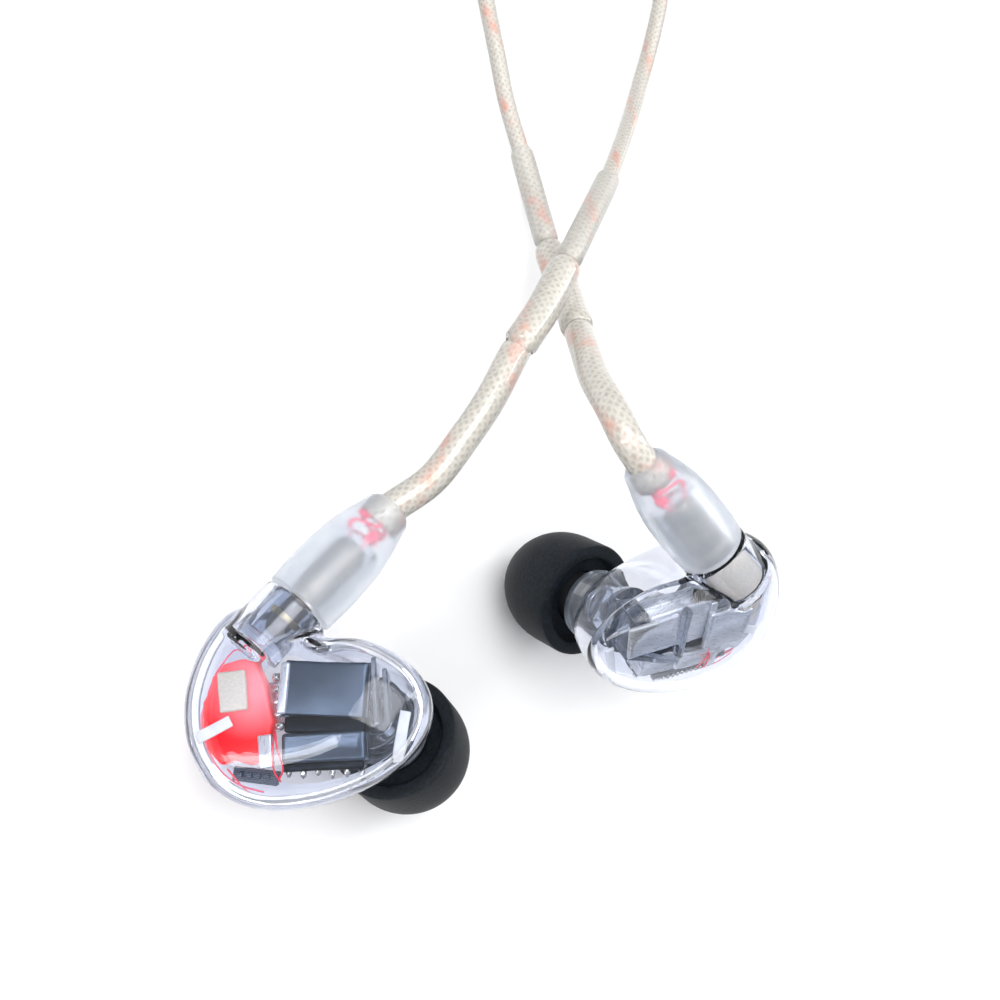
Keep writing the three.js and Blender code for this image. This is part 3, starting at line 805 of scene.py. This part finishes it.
def makeMainLead():
    points = [*mainLead["start"], *coilPoints(mainLead["coil"], across["main"], 4), *mainLead["end"]]
    route = routeThrough(points, 0.7)
    jacket = tube("main_jacket", route, across["main"])
    core = tube("main_strands", route, across["mainCore"], 12)
    finishPiece(core, "main_strands", "lead", "clear_lead", finishes["strands"])
    finishPiece(jacket, "main_jacket", "lead", "clear_lead", finishes["jacket"],
                ["main_run", "main_coil", "main_lead"])
    jacket.visible_shadow = False
    print("main lead length", round(sum((b - a).length for a, b in zip(route, route[1:])), 4))
    return jacket, route, route[0], [core]


leads = {side: makeBranch(side) for side in sides}
leads["main"] = makeMainLead()


# clear housing

housing = {
    "seam": 1.0, "gap": 0.03, "top": 5.2, "wall": 1.3, "around": 96,  # heights and sizes in mm, and a count
    "mouth": 4.3, "mouthBore": 3.0, "mouthAlong": -3.2,
    "neck": 3.3, "socketRoom": 2.8, "bootBase": 3.45, "bootGap": 0.3,
    "outline": [(9.9, 2.8), (7.6, 4.9), (4.6, 6.3), (1.2, 6.6), (-1.8, 8.0), (-4.6, 9.5), (-7.2, 9.2),
                (-9.4, 6.9), (-10.9, 3.4), (-11.3, 0.2), (-10.6, -3.2), (-8.6, -6.2), (-5.4, -8.0),
                (-1.2, -8.3), (3.2, -7.4), (7.4, -5.3), (10.0, -2.6), (10.8, 0.2)],
}


def housingForm(name, inset, mouthRadius, mouthAlong):
    # domed outer side above the seam, and below it an egg that narrows to a round mouth
    around = housing["around"]
    rim = routeThrough([(x, y, 0) for x, y in housing["outline"]], 0.1, closed=True)
    rim = [point / mm for point in rim]
    rim = [rim[round(k * (len(rim) - 1) / around)] for k in range(around)]
    middle = sum(rim, Vector()) / around
    rim = [middle + (point - middle) * (1 - inset / (point - middle).length) for point in rim]
    mouthMiddle = seats["tip"] + seats["tipAxis"] * mouthAlong
    sideways = (Vector((1, 0, 0)) - seats["tipAxis"] * seats["tipAxis"].x).normalized()
    upright = sideways.cross(seats["tipAxis"])
    mouth = []
    for point in rim:
        angle = math.atan2(point.y - middle.y, point.x - middle.x)
        mouth.append(mouthMiddle + mouthRadius * (math.cos(angle) * sideways + math.sin(angle) * upright))
    rings = []
    for degrees in (84, 76, 68, 60, 52, 44, 36, 28, 20, 13, 6, 0):
        slope = math.radians(degrees)
        spread = math.cos(slope) ** 0.55
        height = housing["seam"] + (housing["top"] - inset - housing["seam"]) * math.sin(slope)
        rings.append([Vector((*(middle + (point - middle) * spread).xy, height)) for point in rim])
    for degrees in range(6, 91, 6):
        slope = math.radians(degrees)
        spread = math.cos(slope) ** 0.8
        rings.append([Vector((*(end.lerp(point, spread)).xy,
                              housing["seam"] + (end.z - housing["seam"]) * math.sin(slope)))
                      for point, end in zip(rim, mouth)])
    points = [Vector((middle.x, middle.y, housing["top"] - inset)),
              *[point for ring in rings for point in ring], mouthMiddle]
    faces = []
    for k in range(around):
        n = (k + 1) % around
        faces.append((0, 1 + k, 1 + n))
        for r in range(len(rings) - 1):
            a, b = 1 + r * around, 1 + (r + 1) * around
            faces.append((a + k, b + k, b + n, a + n))
        last = 1 + (len(rings) - 1) * around
        faces.append((last + k, len(points) - 1, last + n))
    piece = meshPiece(name, [point * mm for point in points], faces)
    selectOnly(piece)
    bpy.ops.object.mode_set(mode="EDIT")
    bpy.ops.mesh.select_all(action="SELECT")
    bpy.ops.mesh.normals_make_consistent(inside=False)
    bpy.ops.object.mode_set(mode="OBJECT")
    return piece


def meltTogether(piece, voxel, rounds):
    remesh = piece.modifiers.new("melt", "REMESH")
    remesh.mode = "VOXEL"
    remesh.voxel_size = voxel * mm
    relax = piece.modifiers.new("relax", "SMOOTH")
    relax.factor = 0.5
    relax.iterations = rounds
    applyModifiers(piece)
    return piece


def halfOf(whole, name, height, keepAbove):
    half = whole.copy()
    half.data = whole.data.copy()
    half.name = name
    bpy.context.scene.collection.objects.link(half)
    reach = 60  # mm, well over the housing
    keep = block("keep", (0, 0, height + (reach if keepAbove else -reach) / 2), (reach, reach, reach), soft=0)
    cut = half.modifiers.new("half", "BOOLEAN")
    cut.operation = "INTERSECT"
    cut.object = keep
    cut.solver = "EXACT"
    applyModifiers(half)
    bpy.data.objects.remove(keep)
    return smooth(half, 40)


def makeShells():
    base = housing["bootBase"]
    gap = housing["bootGap"]
    neck = turned("neck", [(0, -6.6), (housing["neck"], -6.6), (base, -3), (base, -gap), (0, -gap)],
                  seats["boot"], seats["bootAxis"], soft=0)
    outer = joined(housingForm("outer form", 0, housing["mouth"], housing["mouthAlong"]), neck)
    meltTogether(outer, 0.2, 14)
    width = housing["socketRoom"]
    room = turned("socket room", [(0, -5.8), (width, -5.8), (width, 1), (0, 1)],
                  seats["boot"], seats["bootAxis"], soft=0)
    bore = turned("mouth bore", [(0, -6), (housing["mouthBore"], -6), (housing["mouthBore"], 1), (0, 1)],
                  seats["tip"], seats["tipAxis"], soft=0)
    cavity = joined(housingForm("cavity", housing["wall"], housing["mouthBore"],
                                housing["mouthAlong"] + 1.3), room, bore)
    meltTogether(cavity, 0.22, 6)
    cut = outer.modifiers.new("hollow", "BOOLEAN")
    cut.operation = "DIFFERENCE"
    cut.object = cavity
    cut.solver = "EXACT"
    applyModifiers(outer)
    bpy.data.objects.remove(cavity)
    top = halfOf(outer, "outer half", housing["seam"] + housing["gap"], True)
    bottom = halfOf(outer, "inner half", housing["seam"] - housing["gap"], False)
    bpy.data.objects.remove(outer)
    shells = onBothSides(top, "shell_outer_half", "earphone", "clear_shell", finishes["shell"], "outer_shell")
    shells += onBothSides(bottom, "shell_inner_half", "earphone", "clear_shell", finishes["shell"],
                          "inner_shell")
    for shell in shells:
        shell.visible_shadow = False  # light reaches what is inside


makeShells()
print("shells made")


# what is inside the housing

drivers = {
    # centre, size and turn of each can in mm and degrees; low and mid differ a little from the frame's cans
    "low": {"centre": (1.6, 1.8, 1.5), "size": (7.4, 4.8, 2.6), "turn": -4, "finish": "darkCan",
            "slot": "driver_dark"},
    "mid": {"centre": (1.5, -3.0, 1.2), "size": (7.2, 2.5, 2.4), "turn": 2, "finish": "darkCan",
            "slot": "driver_dark"},
    "high": {"centre": (3.2, 0.2, -1.9), "size": (5.0, 3.2, 1.6), "turn": 0, "finish": "brightCan",
             "slot": "driver_bright"},
    "rear": {"centre": (-2.9, 0.8, -1.2), "size": (3.8, 4.4, 1.8), "turn": 8, "finish": "brightCan",
             "slot": "driver_bright"},
}


def makeDrivers():
    for name, can in drivers.items():
        body = block(name, can["centre"], can["size"], can["turn"], 0.28, 0.07)
        rim = [can["size"][0] + 0.12, can["size"][1] + 0.12, 0.22]
        lid = block("lid seam", can["centre"], rim, can["turn"], 0.09)
        onBothSides(joined(body, lid), name + "_driver_can", "earphone", can["slot"], finishes[can["finish"]],
                    name + "_driver", ("driver_bright", finishes["brightCan"]))
    skirts = [block("skirt", (1.6, -1.15, 1.1), (7.1, 1.4, 2.3), -1, 0.25),
              block("skirt", (1.4, -4.55, 1.0), (7.0, 0.8, 2.0), 2, 0.25)]
    onBothSides(joined(*skirts), "driver_skirts", "earphone", "driver_dark", finishes["blackCan"])


def makeCradle():
    outline = [(-8.5, 3.2), (-7.6, 4.3), (-5.8, 4.8), (-4.8, 4.7), (-3.8, 2.6), (-3.0, -0.8), (-3.6, -4.0),
               (-4.9, -4.4), (-6.4, -3.9), (-7.4, -4.4), (-8.7, -3.0), (-9.2, -1.3), (-9.3, 1.0), (-8.7, 2.0)]
    points = [(x * mm, y * mm, 0.1 * mm) for x, y in outline]
    piece = meshPiece("cradle", points, [tuple(range(len(points)))])
    selectOnly(piece)
    bpy.ops.object.mode_set(mode="EDIT")
    bpy.ops.mesh.select_all(action="SELECT")
    bpy.ops.mesh.extrude_region_move(TRANSFORM_OT_translate={"value": (0, 0, 1.9 * mm)})
    bpy.ops.mesh.select_all(action="SELECT")
    bpy.ops.mesh.normals_make_consistent(inside=False)
    bpy.ops.object.mode_set(mode="OBJECT")
    softenEdges(piece, 0.35, 4, 40)
    # UVs laid out round the painted light spot that the resin's colour fades from
    wrap = piece.data.uv_layers.new(name="UVMap")
    paintedLightSpot = Vector((-5.0, 2.2))  # mm: centre of the painted light spot, where the red is palest
    for loop, mark in zip(piece.data.loops, wrap.data):
        mark.uv = (piece.data.vertices[loop.vertex_index].co.xy / mm - paintedLightSpot) / 6.5
    onBothSides(piece, "cradle_moulding", "earphone", "red_resin", finishes["red"], "cradle",
                ("milky_resin", finishes["milky"]))


def bead(name, place, size):
    bpy.ops.object.select_all(action="DESELECT")
    bpy.ops.mesh.primitive_ico_sphere_add(subdivisions=3, radius=0.5)
    piece = bpy.context.object
    piece.name = name
    for vertex in piece.data.vertices:
        x, y, _ = vertex.co
        # uneven, as solder sets
        vertex.co *= 1 + 0.12 * math.sin(9 * x + 3 * place[0]) * math.cos(7 * y + place[1])
    piece.data.transform(Matrix.Translation(Vector(place) * mm) @ inMetres(size))
    return smooth(piece, 180)


def wire(name, points, thick):
    return tube(name, routeThrough(points, 0.25), thick, 8)


beadRows = {
    # name: count, then where a bead of the row lies and its size, in mm
    "solder_beads": (5, lambda k: ((-2.7 + 0.1 * k, 3.0 - 1.05 * k, 2.1), (0.85, 0.75, 0.8))),
    "terminal_beads": (6, lambda k: ((-1.6 + 1.25 * k, -5.0 - 0.12 * (k % 2), 1.5),
                                     (0.55, 1.1 - 0.15 * (k % 3), 0.6))),
}
smallBlocks = {
    # name: centre, size, turn and soft edge in mm and degrees, slot and finish
    # painted highlight: a bright steel bar along the low driver's back edge stands in for the silver
    # highlight there
    "painted_highlight_bar": ((-1.9, 2.0, 2.45), (0.8, 4.4, 1.2), -4, 0.2, "driver_bright", "brightCan"),
    "cream_pad": ((-6.5, 1.9, 2.3), (2.5, 3.5, 0.5), 6, 0.22, "cream_plastic", "cream"),
    "white_tab": ((-7.9, -1.3, 2.35), (3.0, 1.0, 0.28), 27, 0.1, "cream_plastic", "film"),
    "small_can": ((-3.4, -3.3, 2.4), (1.2, 2.8, 0.7), 6, 0.16, "driver_bright", "brightCan"),
    "white_strip": ((8.0, -2.2, 1.5), (0.9, 4.2, 0.3), -12, 0.12, "cream_plastic", "film"),
}
wires = {
    # name: finish, then each wire's thickness and route in mm
    "red_wires": ("redWire", [
        (0.16, [(-2.6, -1.6, 2.6), (-2.3, -3.2, 2.9), (-1.9, -4.8, 2.4), (-2.4, -5.7, 1.9)]),
        (0.16, [(-2.6, -1.7, 2.5), (-2.75, -3.4, 2.9), (-2.6, -5.0, 2.5), (-2.2, -5.8, 1.8)]),
        (0.14, [(-6.9, -4.6, 1.9), (-6.0, -5.6, 1.8), (-5.1, -6.7, 1.4)])]),
    "pink_wires": ("pinkWire", [
        (0.22, [(-9.0, 1.4, 1.6), (-9.55, -0.4, 1.4), (-9.0, -2.8, 1.3), (-7.9, -4.7, 1.2),
                (-6.2, -6.0, 1.1), (-3.9, -6.7, 1.0)]),
        (0.18, [(-4.2, 6.0, 1.0), (-6.6, 5.9, 0.8), (-8.2, 4.3, 0.8), (-9.2, 1.8, 1.0)])]),
}


def makeInside():
    for name, (count, layOut) in beadRows.items():
        row = [bead("bead", *layOut(k)) for k in range(count)]
        onBothSides(joined(*row), name, "earphone", "driver_bright", finishes["solder"])
    for name, (centre, size, turn, soft, slot, finish) in smallBlocks.items():
        onBothSides(block(name, centre, size, turn, soft), name, "earphone", slot, finishes[finish])
    board = block("board", (-4.6, -5.3, 0.9), (4.0, 1.2, 0.9), -8, 0.08)
    parts = [block("part", (-5.9 + 0.8 * k, -5.1 - 0.1 * k, 1.5), (0.5, 0.4, 0.35), -8, 0.06)
             for k in range(4)]
    onBothSides(joined(board, *parts), "crossover_assembly", "earphone", "board", finishes["board"],
                "crossover_board")
    ribs = [block("rib", (5.9 + 0.95 * k, 1.6 - 0.5 * k, 1.2), (0.35, 5.2 - 0.8 * k, 2.6), 4, 0.12)
            for k in range(2)]
    profile = [(1.5, -6.4), (3.4, -6.4), (3.1, -5.2), (2.5, -4.0), (2.5, -3.2), (1.5, -3.2), (1.5, -6.4)]
    guide = turned("guide", profile, seats["tip"], seats["tipAxis"])
    onBothSides(joined(guide, *ribs), "sound_guide", "earphone", "clear_trim", finishes["trim"])
    for name, (finish, routes) in wires.items():
        strands = [wire("wire", points, thick) for thick, points in routes]
        onBothSides(joined(*strands), name, "earphone", "red_resin", finishes[finish])


plates = {
    # flat silver covers over the right side's drivers: centre, size and turn, mm and degrees
    "front": ((5.0, 1.9, 2.95), (5.4, 3.6, 0.5), -6),
    "back": ((-3.7, 0.9, 3.05), (5.0, 4.3, 0.7), 2),
    "lower": ((-1.2, -2.9, 2.5), (5.0, 2.1, 0.6), 2),
}


def makeRightInside():
    covers = [block(name, centre, size, turn, 0.25, 0.08) for name, (centre, size, turn) in plates.items()]
    onBothSides(joined(*covers), "driver_plates", "earphone", "driver_bright", finishes["brightCan"],
                only=("right",))
    bars = [block("bar", (1.6, 1.4, 3.0), (0.7, 5.6, 0.9), 0, 0.2),
            block("bar", (4.2, -1.4, 2.6), (6.4, 0.6, 0.8), 22, 0.2)]
    onBothSides(joined(*bars), "clear_bars", "earphone", "clear_trim", finishes["trim"], only=("right",))
    strip = block("strip", (-0.6, -5.1, 1.9), (7.0, 1.0, 0.6), -3, 0.12)
    onBothSides(strip, "dark_strip", "earphone", "board", finishes["board"], only=("right",))
    pins = [bead("pin", (-3.6 + 0.55 * k, -5.0 - 0.03 * k, 2.35), (0.34, 0.6, 0.4)) for k in range(12)]
    onBothSides(joined(*pins), "strip_pins", "earphone", "driver_bright", finishes["solder"], only=("right",))
    ridges = [(0.5 + 0.1 * (k % 2), 0.12 * k) for k in range(1, 58)]
    screw = turned("screw", [(0, 0), *ridges, (0, 7)], (0.4, 5.0, 2.3), (-0.99, -0.1, 0.05), 32, 0)
    onBothSides(screw, "long_screw", "earphone", "barrel_metal", finishes["blackCan"], only=("right",))


makeDrivers()
makeCradle()
makeInside()
makeRightInside()
print("inside made")


# nozzle and ear tip

tip = {"radius": 6.1, "length": 10.1, "bore": 2.95, "recess": 1.2}


def makeNozzle():
    at, axis = seats["tip"], seats["tipAxis"]
    stem = turned("stem", [(1.2, -2.8), (2.8, -2.8), (2.8, -2.1), (1.9, -2.1), (1.9, 1.0), (2.0, 1.3),
                           (1.9, 1.6), (1.9, 5.6), (1.6, 6.0), (1.2, 6.0), (1.2, -2.8)], at, axis)
    onBothSides(stem, "nozzle_tube", "earphone", "clear_trim", finishes["trim"], "nozzle_stem")
    ridges = [(3.45 + 0.35 * (k % 2), -2.75 + 0.22 * k) for k in range(9)]
    collar = turned("collar", [(3.1, -2.9), (3.8, -2.9), *ridges, (3.6, -0.5), (2.2, -0.5), (2.2, -1.8),
                               (3.1, -1.8), (3.1, -2.9)], at, axis, 72, 0.03)
    onBothSides(collar, "threaded_collar", "collar", "smoke_trim", finishes["collar"], "nozzle_collar")
    foam = tipFoam(at, axis)
    for piece in onBothSides(foam, "foam_ear_tip", "ear_tip", "foam", finishes["foam"], "tip_foam"):
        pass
    core = turned("core", [(2.1, 0.6), (2.7, 0.6), (2.7, 9.5), (2.1, 9.5), (2.1, 0.6)], at, axis)
    onBothSides(core, "tip_tube", "ear_tip", "soft_black", finishes["silicone"], "tip_core")


def tipFoam(at, axis):
    radius, length, bore, recess = [tip[key] for key in ("radius", "length", "bore", "recess")]
    shoulder = 3.4
    nose = [(radius - (radius - bore) * part ** 2.4, shoulder + (length - shoulder) * part)
            for part in (k / 12 for k in range(13))]
    profile = [(bore, recess), (4.4, recess), (4.6, 0.9), (4.7, 0.25), (4.9, 0.05), (radius - 0.35, 0),
               (radius - 0.08, 0.12), (radius, 0.4), *nose, (bore, recess)]
    return turned("foam", profile, at, axis, 96, 0)


makeNozzle()
print("nozzle and ear tip made")


# plug, socket and boot

boot = {"length": 12.7, "base": 3.45, "end": 2.0, "wires": 3, "wireThick": 0.3}


def makeBoots():
    at, axis = seats["boot"], seats["bootAxis"]
    base, end, length = [boot[key] for key in ("base", "end", "length")]
    profile = [(0, 8.6), (1.0, 8.3), (1.9, 7.8), (2.1, 6.6), (2.1, 0), (base - 0.1, 0),
               (base, 0.15), (base + 0.12, 1.8), (base + 0.15, 3.6), (base + 0.1, 5.4),
               (base, 7.0), (base - 0.25, 8.6), (base - 0.6, 10.0), (base - 0.95, 11.2),
               (end + 0.3, 12.1), (end, 12.5), (end - 0.25, length), (0, length)]
    shell = turned("boot", profile, at, axis, 72, 0.05)
    mouldings = onBothSides(shell, "boot_moulding", "lead", "frosted_boot", finishes["boot"], "boot")
    for moulding in mouldings:
        moulding.visible_shadow = False  # light reaches the plug
    profile = [(0, -3.8), (0.7, -3.8), (0.9, -3.5), (1.15, -3.2), (1.15, -2.5), (1.0, -2.3),
               (1.0, -1.9), (1.15, -1.7), (1.15, 0.5), (1.8, 0.5), (1.8, 1.2), (1.7, 1.3),
               (1.7, 1.6), (1.8, 1.7), (1.8, 6.4), (1.3, 7.4), (0, 7.4)]
    barrel = turned("barrel", profile, at, axis)
    plugs = onBothSides(barrel, "plug_body", "lead", "barrel_metal", finishes["barrel"], "plug_barrel")
    ring = turned("ring", [(1.3, -2.4), (1.6, -2.4), (1.6, -1.8), (1.3, -1.8), (1.3, -2.4)], at, axis)
    onBothSides(ring, "spring_ring", "swivel_ring", "gold_plate", finishes["gold"], "snap_ring")
    profile = [(0, -5.6), (2.5, -5.6), (2.5, -0.3), (1.75, -0.3), (1.75, -4.4), (0, -4.4)]
    cup = turned("cup", profile, at, axis)
    onBothSides(cup, "socket_block", "earphone", "clear_trim", finishes["trim"], "socket",
                ("cream_plastic", finishes["cream"]))
    sideways = axis.orthogonal().normalized()
    other = axis.cross(sideways)
    runs = []
    for k in range(boot["wires"]):
        lean = 2 * math.pi * k / boot["wires"]
        slant = lean + 1.9  # radians that each wire has wound round by the boot's end
        out = math.cos(lean) * sideways + math.sin(lean) * other
        back = math.cos(slant) * sideways + math.sin(slant) * other
        route = [axis * 7.0 + out * 0.7, axis * 8.9 + out * 1.3, axis * 9.9 + back * 1.2,
                 axis * 10.8 + out * 0.7, axis * 12.2 + back * 0.3]
        runs.append(wire("wire", [at + point for point in route], boot["wireThick"]))
        runs.append(bead("joint", at + axis * (8.7 + 0.7 * k) + out * 1.0, (1.1, 0.9, 0.8)))
    bootWires = onBothSides(joined(*runs), "boot_wires", "lead", "red_resin", finishes["pinkWire"])
    return {side: pieces for side, *pieces in zip(sides, mouldings, plugs, bootWires)}


onBoots = makeBoots()
print("boots made")


# what is on the lead: slider, splitter, clip and jack

def copyOfNode(node):
    # a CAD node's own mesh, merged, to be refined
    source = frame["nodes"][node]
    copy = source.copy()
    copy.data = source.data.copy()
    copy.parent = None
    bpy.context.scene.collection.objects.link(copy)
    selectOnly(copy)
    bpy.ops.object.mode_set(mode="EDIT")
    bpy.ops.mesh.select_all(action="SELECT")
    bpy.ops.mesh.remove_doubles(threshold=0.001 * mm)
    bpy.ops.mesh.dissolve_limited(angle_limit=math.radians(1))
    bpy.ops.object.mode_set(mode="OBJECT")
    for key in list(copy.keys()):
        del copy[key]
    return copy


fittings = {
    # the frame's node: piece, width and steps of its soft edges in mm, body, slot and finish
    "cinch_slider": ("slider_moulding", 0.25, 3, "cinch", "grey_plastic", "grey"),
    "y_splitter": ("splitter_moulding", 0.5, 4, "lead", "grey_plastic", "grey"),
    "coil_clip": ("clip_moulding", 0.25, 3, "lead", "soft_black", "black"),
}


def makeLeadFittings():
    for node, (name, soft, steps, body, slot, finish) in fittings.items():
        piece = softenEdges(copyOfNode(node), soft, steps, 40)
        yield finishPiece(piece, name, body, slot, finishes[finish], [node])


jack = {"start": 178.0, "grip": 3.3, "pin": 1.75, "ribs": 9, "rings": 17}  # mm, and counts


def makeJack():
    low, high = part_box("jack_handle")
    middle = (low + high) / 2
    at = (middle.x / mm, jack["start"], middle.z / mm)
    axis = (0, -1, 0)
    grip, pin = jack["grip"], jack["pin"]
    ribs = [(1.9 + 0.11 * k - (0.22 if k % 2 else 0), 0.3 + 1.25 * k) for k in range(jack["ribs"])]
    relief = turned("relief", [(0, 0.3), *ribs, (2.6, 11.6), (0, 11.6)], at, axis, 48, 0.08)
    knurl = [(grip - (0.14 if k % 2 else 0), 15.0 + 0.45 * k) for k in range(jack["rings"])]
    profile = [(0, 12), (2.7, 12), (grip, 13.2), *knurl, (grip, 23.4), (grip, 26.5), (2.8, 27.6), (0, 27.6)]
    handle = turned("handle", profile, at, axis, 72, 0.05)
    pieces = [
        finishPiece(relief, "jack_relief_moulding", "lead", "grey_plastic", finishes["grey"],
                    ["jack_strain_relief"]),
        finishPiece(handle, "jack_handle_turning", "lead", "handle_metal", finishes["handle"],
                    ["jack_handle"]),
    ]
    spans = {"sleeve": [(0, 27.7), (pin, 27.7), (pin, 34.6), (0, 34.6)],
             "ring": [(0, 35.2), (pin, 35.2), (pin, 37.2), (0, 37.2)],
             "tip": [(0, 37.8), (pin, 37.8), (pin, 38.4), (1.25, 39.2), (1.7, 40.1), (1.55, 40.6),
                     (0.6, 41.9), (0, 42)]}
    for name, profile in spans.items():
        contact = turned(name, profile, at, axis, 48, 0.08)
        pieces.append(finishPiece(contact, "jack_" + name + "_turning", "lead", "gold_plate",
                                  finishes["gold"], ["jack_" + name + "_contact"]))
    rings = [turned("insulator", [(0, a), (1.65, a), (1.65, a + 0.6), (0, a + 0.6)], at, axis, 48, 0)
             for a in (34.6, 37.2)]
    pieces.append(finishPiece(joined(*rings), "jack_insulators", "lead", "soft_black", finishes["black"]))
    return pieces


def declareCords(slider, splitter, clip, jackPieces):
    carried = {"left": [*onBoots["left"], splitter, slider], "right": onBoots["right"],
               "main": [clip, *jackPieces]}
    for name, (jacket, route, exit, layers) in leads.items():
        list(layers)
        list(carried[name])
        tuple(exit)
        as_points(route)


declareCords(*makeLeadFittings(), makeJack())

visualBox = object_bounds()
[[list(corner) for corner in box] for box in (cadBox, visualBox)]
